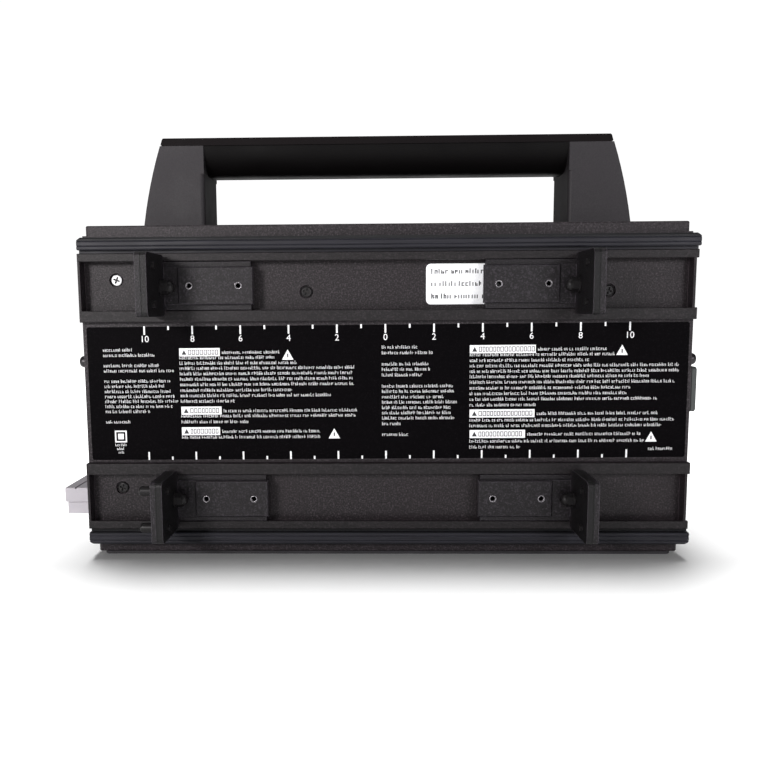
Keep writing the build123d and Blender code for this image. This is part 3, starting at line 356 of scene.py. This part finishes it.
def metal(name, color, roughness, scratch_mm=0.8, spread=0.15):
    """Plated or bare metal with fine scratches and slight tarnish."""
    paint = Paint(name, color, roughness, metallic=1.0)
    scratches = paint.noise(scratch_mm, 4.0, 0.65, paint.stretched((1.0, 1.0, 0.25)))
    tarnish = paint.noise(5.0, 3.0)
    low = tuple(c * (1 - spread) for c in color)
    paint.color(paint.ramp(tarnish, [(0.3, low), (0.65, color)]))
    paint.roughness(paint.range(scratches, roughness - 0.07, roughness + 0.12))
    paint.bump([(scratches, 0.02, 0.3)])
    return paint.material


def label_film():
    """Black laminated film: glossy, with faint waves and dust."""
    paint = Paint("label_film", (0.0016, 0.0012, 0.0014), 0.5, specular=0.015)
    wave = paint.noise(30.0, 1.0)
    dust = paint.noise(0.7, 2.0)
    paint.color(paint.ramp(dust, [(0.55, (0.0018, 0.0015, 0.0019)), (0.80, (0.007, 0.006, 0.007))]))
    paint.roughness(paint.range(wave, 0.46, 0.56))
    paint.bump([(wave, 0.25, 0.15), (dust, 0.01, 0.2)])
    return paint.material


def print_ink():
    """White screen print with a slightly uneven density."""
    paint = Paint("print_ink", (0.80, 0.80, 0.81), 0.45, specular=0.3)
    density = paint.noise(0.8, 2.0)
    paint.color(paint.ramp(density, [(0.25, (0.66, 0.66, 0.68)), (0.6, (0.88, 0.88, 0.89))]))
    paint.bump([(density, 0.01, 0.2)])
    return paint.material


def sticker_film():
    """White paper sticker with faint fibres."""
    paint = Paint("sticker_film", (0.84, 0.85, 0.87), 0.6, specular=0.3)
    fibre = paint.noise(0.5, 3.0, 0.6, paint.stretched((1.0, 1.0, 0.4)))
    paint.color(paint.ramp(fibre, [(0.3, (0.76, 0.77, 0.80)), (0.6, (0.88, 0.89, 0.90))]))
    paint.bump([(fibre, 0.015, 0.3)])
    return paint.material


def base_rubber():
    paint = Paint("base_rubber", (0.016, 0.015, 0.018), 0.62)
    grain = paint.noise(0.7, 2.0)
    cloud = paint.noise(22.0, 3.0)
    paint.color(paint.ramp(cloud, [(0.3, (0.012, 0.011, 0.0135)), (0.7, (0.024, 0.0225, 0.027))]))
    paint.roughness(paint.range(grain, 0.5, 0.75))
    paint.bump([(grain, 0.06, 0.4)])
    return paint.material


def rail_screw_steel():
    """The screw in the upper left corner is bright zinc, the others are blackened.

    The driver recess and the rounded edge of every head are painted black, which is painted shade on the zinc
    screw.
    """
    paint = Paint("rail_screw_steel", (0.03, 0.03, 0.03), 0.36, specular=0.2)
    low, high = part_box("rail_screws")
    at_left = paint.range(paint.position("X"), 1.0, 0.0, -0.1605, -0.1600)
    above = paint.range(paint.position("Z"), 0.0, 1.0, 0.1500, 0.1505)
    # Only the flat top of the zinc head keeps its zinc colour; its recess and rounded edge get painted shade.
    shallow = paint.range(paint.position("Y"), 1.0, 0.0, low.y + 0.35 * MM, low.y + 0.55 * MM)
    bright = paint.product(paint.product(at_left, above), shallow)
    tarnish = paint.noise(2.0, 3.0)
    black = paint.ramp(tarnish, [(0.3, (0.006, 0.006, 0.007)), (0.7, (0.022, 0.020, 0.020))])
    zinc = paint.ramp(tarnish, [(0.3, (0.80, 0.80, 0.82)), (0.6, (0.95, 0.95, 0.96))])
    paint.color(paint.blend(bright, black, zinc))
    paint.roughness(paint.range(tarnish, 0.32, 0.5))
    paint.bump([(tarnish, 0.01, 0.2)], 0.15)
    return paint.material


def handle_moulding():
    """Grained black moulding: the grip between the posts is painted far darker, as painted shade of its
    downward-turned faces, and has less specular.
    """
    paint = Paint("handle_moulding", (0.019, 0.0165, 0.0185), 0.55, specular=0.22)
    low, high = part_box("handle_cap")
    middle = (low.x + high.x) / 2
    half = 129.3 * MM
    grain = paint.noise(0.8, 2.0)
    cloud = paint.noise(28.0, 3.0)
    base = paint.ramp(cloud, [(0.3, (0.017, 0.0150, 0.017)), (0.7, (0.024, 0.0215, 0.024))])
    speckled = paint.blend(paint.range(grain, 0.0, 0.5), base, (0.036, 0.0325, 0.036))
    grip = paint.within("X", middle, half, 0.5 * MM)
    # Painted shade: the grip is painted almost black.
    paint.color(paint.blend(grip, speckled, (0.0022, 0.0018, 0.0019)))
    paint.link(paint.range(grip, 0.22, 0.08, 0.0, 1.0), paint.shader.inputs["Specular IOR Level"])
    paint.roughness(paint.range(cloud, 0.50, 0.62))
    paint.bump([(grain, 0.05, 0.5)], 0.4)
    return paint.material


def circuit_board():
    """Green solder mask with paler tracks."""
    paint = Paint("circuit_board", (0.02, 0.12, 0.05), 0.35)
    tracks = paint.node("ShaderNodeTexBrick")
    tracks.inputs["Scale"].default_value = 90.0
    tracks.inputs["Mortar Size"].default_value = 0.03
    tracks.inputs["Color1"].default_value = (0.012, 0.10, 0.04, 1)
    tracks.inputs["Color2"].default_value = (0.016, 0.12, 0.05, 1)
    tracks.inputs["Mortar"].default_value = (0.05, 0.22, 0.09, 1)
    paint.link(paint.place, tracks.inputs["Vector"])
    paint.color(tracks.outputs["Color"])
    paint.bump([(tracks.outputs["Fac"], 0.05, 0.3)])
    return paint.material


def winding_wire():
    """Enamelled copper wire laid side by side."""
    paint = Paint("winding_wire", (0.45, 0.16, 0.05), 0.3, metallic=1.0)
    wire = paint.node("ShaderNodeTexWave", wave_type="BANDS", bands_direction="Z")
    wire.inputs["Scale"].default_value = 160.0
    wire.inputs["Distortion"].default_value = 0.6
    paint.link(paint.place, wire.inputs["Vector"])
    paint.color(paint.ramp(wire.outputs["Fac"], [(0.1, (0.16, 0.05, 0.015)), (0.7, (0.52, 0.20, 0.07))]))
    paint.bump([(wire.outputs["Fac"], 0.5, 0.6)])
    return paint.material


def smoked_lens():
    paint = Paint("smoked_lens", (0.006, 0.007, 0.009), 0.08, specular=0.6)
    smear = paint.noise(14.0, 3.0)
    paint.roughness(paint.range(smear, 0.05, 0.14))
    paint.color(paint.ramp(smear, [(0.3, (0.005, 0.006, 0.008)), (0.7, (0.009, 0.010, 0.012))]))
    paint.bump([(smear, 0.02, 0.2)])
    return paint.material


def marked_plastic(name, node, color, ink, bars):
    """Moulded plastic with printed bars: half width and half height in mm, round the node's middle."""
    low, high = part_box(node)
    middle = (low + high) / 2
    paint = Paint(name, color, 0.42, specular=0.4)
    grain = paint.noise(0.4, 2.0)
    made = paint.ramp(grain, [(0.3, tuple(c * 0.9 for c in color)), (0.7, tuple(c * 1.08 for c in color))])
    for half_w, half_h in bars:
        inside = paint.within("X", middle.x, half_w * MM)
        made = paint.blend(paint.product(inside, paint.within("Z", middle.z, half_h * MM)), made, ink)
    paint.color(made)
    paint.roughness(paint.range(grain, 0.36, 0.5))
    paint.bump([(grain, 0.03, 0.4)])
    return paint.material


def lamp_plastic():
    paint = Paint("lamp_plastic", (0.10, 0.42, 0.14), 0.15)
    swirl = paint.noise(2.0, 2.0)
    paint.color(paint.ramp(swirl, [(0.3, (0.07, 0.34, 0.10)), (0.7, (0.16, 0.55, 0.20))]))
    paint.shader.inputs["Subsurface Weight"].default_value = 0.0
    paint.roughness(paint.range(swirl, 0.10, 0.2))
    return paint.material


# ---------------------------------------------------------------- dressing the CAD nodes
def dress(material, *names):
    """Gives CAD nodes their finished material."""
    for name in names:
        data = nodes[name].data
        data.materials.clear()
        data.materials.append(material)


def dress_everything():
    dress(powder_coat("powder_coat", (0.0058, 0.0044, 0.0052), (0.0140, 0.0110, 0.0130), (0.056, 0.046, 0.053)),
          "base_tray", "top_lid", "left_side_panel", "right_side_panel", "rear_panel", "front_panel")
    rail_low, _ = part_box("upper_rail")
    dress(powder_coat("rail_coat", (0.0044, 0.0033, 0.0039), (0.0108, 0.0082, 0.0096), (0.050, 0.040, 0.046),
                      rail_low.y + 0.5 * MM), "upper_rail", "lower_rail")
    trim_low, trim_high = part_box("upper_trim")
    dress(trim_coat("upper_trim_coat", trim_high.z - 2.0 * MM, trim_high.z), "upper_trim")
    trim_low, trim_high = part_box("lower_trim")
    dress(trim_coat("lower_trim_coat", trim_high.z - 2.0 * MM, trim_high.z), "lower_trim")
    dress(base_rubber(), "base_pad")
    dress(label_film(), "rating_label")
    dress(sticker_film(), "serial_sticker")
    dress(rail_screw_steel(), "rail_screws")
    black_steel = metal("black_steel", (0.045, 0.043, 0.045), 0.36)
    dress(black_steel, "side_screws", "fan_grille")
    dress(handle_moulding(), "handle_frame")
    dress(moulded_plastic("cap_plastic", (0.0060, 0.0046, 0.0050), 0.6, 0.8, 0.05, 0.12, 0.06), "handle_cap")
    dress(moulded_plastic("connector_plastic", (0.42, 0.40, 0.43), 0.45, 0.5, 0.03, 0.06),
          "dc_connector_housing")
    dress(moulded_plastic("inlet_plastic", (0.010, 0.009, 0.010), 0.5, 0.5, 0.04), "ac_inlet", "rocker_frame")
    dress(moulded_plastic("bezel_plastic", (0.050, 0.056, 0.054), 0.5, 0.5, 0.04), "ac_inlet_bezel")
    dress(moulded_plastic("fascia_plastic", (0.030, 0.029, 0.032), 0.55, 0.6, 0.07), "control_fascia")
    dress(moulded_plastic("fan_plastic", (0.016, 0.016, 0.017), 0.4, 0.6, 0.04), "fan_frame", "fan_rotor")
    for name, bars in BUTTONS.items():
        dress(marked_plastic(name + "_plastic", name, (0.33, 0.34, 0.36), (0.02, 0.02, 0.022), bars), name)
    black = (0.012, 0.012, 0.013)
    rocker = marked_plastic("rocker_plastic", "power_rocker", black, (0.7, 0.7, 0.7), ((0.5, 3.0),))
    dress(rocker, "power_rocker")
    dress(moulded_plastic("epoxy", (0.014, 0.014, 0.015), 0.4), "power_transistors")
    dress(moulded_plastic("can_sleeve", (0.010, 0.016, 0.05), 0.3), "bulk_capacitors")
    dress(moulded_plastic("ferrite", (0.045, 0.045, 0.05), 0.5, 1.2, 0.08), "transformer_core")
    dress(winding_wire(), "transformer_winding", "output_choke")
    dress(circuit_board(), "main_board", "control_board", "display_module")
    dress(metal("bare_aluminium", (0.72, 0.72, 0.74), 0.34), "heatsinks")
    dress(metal("tinned_metal", (0.80, 0.80, 0.78), 0.25), "ac_inlet_pins")
    dress(metal("copper", (0.72, 0.34, 0.18), 0.3), "dc_contacts")
    dress(metal("zinc_steel", (0.66, 0.66, 0.68), 0.3), "handle_screws", "board_standoffs")
    dress(smoked_lens(), "display_lens")
    dress(lamp_plastic(), "indicator_lenses")
    tones = ((0.0026, 0.0021, 0.0026), (0.0062, 0.0050, 0.0062), (0.036, 0.031, 0.038))
    coat = powder_coat("bracket_coat", *tones)
    bolt = moulded_plastic("bolt_steel", (0.0055, 0.0048, 0.0052), 0.4, 1.2, 0.02, 0.3, 0.2)
    for name in BRACKETS:
        pad_low, pad_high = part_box(name + "_pad")
        plane = pad_high.x if name.endswith("left") else pad_low.x
        face = tapped_holes(name)[0].y
        dress(coat, name + "_shoe")
        # Pad and arm get a strong painted highlight on their edges; the arm's flange, more than 4 mm in front
        # of the bar's face, gets painted shade.
        dress(powder_coat(name + "_pad_coat", *tones, seam=plane, edge=3.0), name + "_pad")
        dress(powder_coat(name + "_arm_coat", *tones, face - 4 * MM, 0.75, plane, 2.0), name + "_arm")
        dress(bolt, name + "_fasteners")


def smooth_shading():
    """Smooth shading across curved faces and sharp creases at real edges."""
    for node in nodes.values():
        data = node.data
        if "custom_normal" in data.attributes:
            continue
        data.shade_smooth()
        data.set_sharp_from_angle(angle=math.radians(32))


# ---------------------------------------------------------------- printing on the label
def on_label(x, depth, z):
    """Offset from the label's middle, turned as the label is: x and z in mm, depth in metres."""
    turned_x = x * math.cos(LABEL_TURN) - z * math.sin(LABEL_TURN)
    turned_z = x * math.sin(LABEL_TURN) + z * math.cos(LABEL_TURN)
    return Vector((turned_x * MM, depth, turned_z * MM))


class Print:
    """Flat ink shapes gathered into one thin closed mesh on the label's face."""

    def __init__(self, origin, thickness):
        self.shape = bmesh.new()
        self.origin = origin
        self.thickness = thickness

    def slab(self, outline):
        """Closed slab from an outline of (x, z) points in millimetres, anticlockwise from the front."""
        front_y = -self.thickness
        rings = []
        for depth in (front_y, self.thickness * 0.5):
            rings.append([self.shape.verts.new(self.origin + on_label(x, depth, z)) for x, z in outline])
        front, back = rings
        count = len(outline)
        self.shape.faces.new(front)
        self.shape.faces.new(back[::-1])
        for i in range(count):
            j = (i + 1) % count
            self.shape.faces.new((front[j], front[i], back[i], back[j]))

    def bar(self, x, z, width, height):
        """Rectangle with its left end at x and its middle height at z."""
        low, high = z - height / 2, z + height / 2
        self.slab([(x, low), (x + width, low), (x + width, high), (x, high)])

    def frame(self, x, z, width, height, band):
        """Rectangular outline made of four bars."""
        self.bar(x, z + height / 2 - band / 2, width, band)
        self.bar(x, z - height / 2 + band / 2, width, band)
        self.bar(x, z, band, height - 2 * band)
        self.bar(x + width - band, z, band, height - 2 * band)

    def triangle(self, x, z, width, height):
        self.slab([(x - width / 2, z - height / 2), (x + width / 2, z - height / 2), (x, z + height / 2)])

    def mark(self, rng, x, z, width, size, stroke):
        """One meaningless mark: a stem, one or two cross strokes and perhaps a short second stem."""
        rise = size * (1.0 if rng.random() < 0.3 else 0.72)
        middle = z + (rise - size * 0.72) / 2
        self.bar(x, middle, stroke, rise)
        if width < 2.2 * stroke:
            return
        foot = z - size * 0.36 + stroke / 2
        for place in rng.sample((foot, z, foot + size * 0.72 - stroke), rng.randint(1, 2)):
            self.bar(x + stroke, place, width - stroke, stroke * 0.8)
        if rng.random() < 0.6:
            reach = size * rng.uniform(0.3, 0.7)
            self.bar(x + width - stroke, foot - stroke / 2 + reach / 2, stroke, reach)

    def words(self, rng, x, z, length, size, stroke):
        """A line of meaningless marks, as wide and as dense as a printed line."""
        end = x + length
        while x < end - size:
            for _ in range(rng.randint(2, 9)):
                width = size * rng.uniform(0.22, 0.62)
                if x + width > end:
                    return
                self.mark(rng, x, z, width, size, stroke)
                x += width + size * 0.2
            x += size * 0.4

    def finish(self, name, material, body="case"):
        mesh = bpy.data.meshes.new(name)
        self.shape.to_mesh(mesh)
        self.shape.free()
        mesh.materials.append(material)
        piece = bpy.data.objects.new(name, mesh)
        bpy.context.scene.collection.objects.link(piece)
        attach(piece, body)
        return piece


# Lines of print: (x, height, length), in millimetres from the middle of the index scale.
LEFT_COLUMN = [
    (27.5, 19), (24.2, 33), (17.7, 35), (14.4, 45), (7.9, 43), (4.7, 40), (1.4, 42),
    (-1.8, 44), (-4.9, 47), (-8.1, 44), (-11.3, 29), (-17.9, 16),
]
MIDDLE_COLUMN = [
    (27.9, 22), (24.4, 32), (17.4, 31), (14.1, 31), (10.6, 27), (3.6, 44), (0.3, 45), (-3.2, 40),
    (-6.5, 47), (-9.9, 43), (-13.2, 43), (-16.5, 47), (-20.1, 12), (-26.9, 19),
]
LEFT_BLOCK = [
    (22.3, 62), (18.9, 75), (15.7, 110), (12.3, 109), (8.9, 109), (5.5, 109), (1.9, 73), (-1.5, 96),
    (-5.0, 35), (-14.4, 110), (-18.1, 44), (-27.9, 90),
]
RIGHT_BLOCK = [
    (22.7, 90), (19.2, 74), (15.8, 129), (12.4, 129), (9.1, 111), (5.6, 127), (2.0, 102), (-1.5, 97),
    (-5.0, 117), (-8.6, 41), (-18.2, 127), (-21.7, 119), (-31.5, 109), (-35.2, 33),
]
# Boxed headings: (x, height, box length, length of the print that follows it).
HEADINGS = [
    (-128.6, 25.9, 25.4, 36), (-128.5, -10.8, 25.4, 85), (-128.6, -23.9, 24.2, 63),
    (52.1, 26.3, 40.6, 45), (52.2, -13.8, 40.4, 76), (52.3, -26.8, 34.6, 73),
]
TRIANGLES = [(-60.8, 24.0), (-32.4, -25.8), (145.6, 25.2), (165.0, -29.0)]


def index_scale(ink):
    """Ticks along both edges of the label and the numbers of the upper row."""
    top, bottom, width = 42.45, -42.15, 1.05
    marks = Print(INDEX_MID, 0.04 * MM)
    for step in range(-10, 11):
        x = step * STEP - width / 2
        upper, lower = (5.4, 5.1) if step % 2 == 0 else (2.5, 2.1)
        marks.bar(x, top - upper / 2, width, upper)
        marks.bar(x, bottom + lower / 2, width, lower)
    marks.finish("index_ticks", ink)
    for step in range(-10, 11, 2):
        side = "left" if step < 0 else "right"
        curve = bpy.data.curves.new(f"index_number_{side}_{abs(step)}", "FONT")
        curve.body = str(abs(step))
        curve.align_x = "CENTER"
        curve.align_y = "CENTER"
        curve.size = 5.7 * MM
        curve.extrude = 0.04 * MM
        curve.resolution_u = 3
        piece = bpy.data.objects.new(f"index_number_{side}_{abs(step)}", curve)
        bpy.context.scene.collection.objects.link(piece)
        piece.rotation_euler = (math.radians(90), -LABEL_TURN, 0)
        piece.location = INDEX_MID + on_label(step * STEP, 0, 34.2)
        solid = to_mesh(piece)
        solid.data.materials.append(ink)
        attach(solid, "case")


def to_mesh(piece):
    """Makes a mesh object of a curve or text object, which goes."""
    bpy.context.view_layer.update()
    mesh = bpy.data.meshes.new_from_object(piece.evaluated_get(bpy.context.evaluated_depsgraph_get()))
    mesh.transform(piece.matrix_world)
    name = piece.name
    bpy.data.objects.remove(piece)
    solid = bpy.data.objects.new(name, mesh)
    bpy.context.scene.collection.objects.link(solid)
    return solid


def label_print(ink):
    """Greeked paragraphs, boxed headings and plain triangles: no real wording."""
    rng = random.Random(12)
    text = Print(INDEX_MID, 0.03 * MM)
    for x, column in ((-176.4, LEFT_COLUMN), (-2.3, MIDDLE_COLUMN), (-128.6, LEFT_BLOCK), (52.2, RIGHT_BLOCK)):
        for height, length in column:
            text.words(rng, x, height, length, 2.05, 0.28)
    for x, height, box, length in HEADINGS:
        text.words(rng, x + box + 1.4, height - 0.4, length, 2.05, 0.28)
    text.words(rng, 163.4, -36.8, 16.5, 2.05, 0.28)
    text.frame(-171.3, -27.0, 7.6, 7.6, 0.9)
    text.bar(-169.3, -27.0, 3.6, 3.6)
    for height, length in ((-32.6, 7.6), (-35.0, 5.4), (-37.4, 3.6)):
        text.words(rng, -167.5 - length / 2, height, length, 1.7, 0.34)
    text.finish("label_text", ink)
    boxes = Print(INDEX_MID, 0.03 * MM)
    for x, height, box, _ in HEADINGS:
        boxes.bar(x, height, box, 5.1)
    for x, height in TRIANGLES:
        boxes.triangle(x, height, 7.2, 6.4)
    boxes.finish("label_boxes", ink)


def label_cutouts(dark):
    """Dark marks on the white boxes and triangles."""
    rng = random.Random(5)
    marks = Print(INDEX_MID + Vector((0, -0.03 * MM, 0)), 0.03 * MM)
    for x, height, box, _ in HEADINGS:
        marks.triangle(x + 3.0, height, 3.2, 3.0)
        left = x + 5.6
        while left < x + box - 1.8:
            width = rng.uniform(1.0, 1.6)
            if left + width > x + box - 0.8:
                break
            marks.frame(left, height, width + 0.5, 3.1, 0.42)
            left += width + 1.0
    for x, height in TRIANGLES:
        marks.bar(x - 0.4, height - 0.6, 0.8, 2.4)
    marks.finish("label_dark_marks", dark)


def sticker_print(dark):
    """Three lines of meaningless dark marks on the white sticker."""
    low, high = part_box("serial_sticker")
    rng = random.Random(3)
    marks = Print(Vector((low.x, low.y, (low.z + high.z) / 2)), 0.03 * MM)
    for height, length in ((7.4, 41), (-0.2, 38), (-7.8, 42)):
        marks.words(rng, 3.2, height, length, 3.1, 0.66)
    marks.finish("sticker_text", dark)


# ---------------------------------------------------------------- small hardware
def tapped_holes(name):
    """Middle between a bracket's two tapped holes, on the bar's face, and half their distance."""
    mount = next(m for m in frame["record"]["mounts"] if m["name"] == name + "_tapped_holes")
    return Vector(mount["pos_m"]), mount["dims"]["spacing_x_mm"] * MM / 2


def thread_rims():
    """Bright countersunk rim round each tapped hole, on the face of the bracket's bar."""
    steel = metal("rim_steel", (0.42, 0.40, 0.42), 0.3)
    for name in BRACKETS:
        middle, half = tapped_holes(name)
        shape = bmesh.new()
        for side in (-1, 1):
            add_rim(shape, middle + Vector((side * half, 0, 0)))
        mesh = bpy.data.meshes.new(name + "_thread_rims")
        shape.to_mesh(mesh)
        shape.free()
        mesh.materials.append(steel)
        piece = bpy.data.objects.new(name + "_thread_rims", mesh)
        bpy.context.scene.collection.objects.link(piece)
        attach(piece, name + "_bracket")


def add_rim(shape, middle, count=40):
    """Closed ring turned from a wedge profile: (radius, depth behind the face), in millimetres."""
    profile = ((1.35, 1.6), (1.35, 0.4), (1.90, -0.10), (2.10, -0.05), (2.10, 0.1), (1.8, 1.6))
    rings = []
    for i in range(count):
        angle = 2 * math.pi * i / count
        rings.append([
            shape.verts.new(middle + Vector((r * math.cos(angle) * MM, d * MM, r * math.sin(angle) * MM)))
            for r, d in profile
        ])
    for i in range(count):
        here, there = rings[i], rings[(i + 1) % count]
        for j in range(len(profile)):
            k = (j + 1) % len(profile)
            face = shape.faces.new((here[j], here[k], there[k], there[j]))
            face.smooth = True


# ---------------------------------------------------------------- assembly
add_camera()
add_world()
light_scene(add_floor())
bpy.context.scene.view_settings.view_transform = "Standard"
dress_everything()
smooth_shading()
white_ink = print_ink()
dark_ink = moulded_plastic("dark_ink", (0.012, 0.012, 0.014), 0.4)
thread_rims()
index_scale(white_ink)
label_print(white_ink)
label_cutouts(dark_ink)
sticker_print(dark_ink)
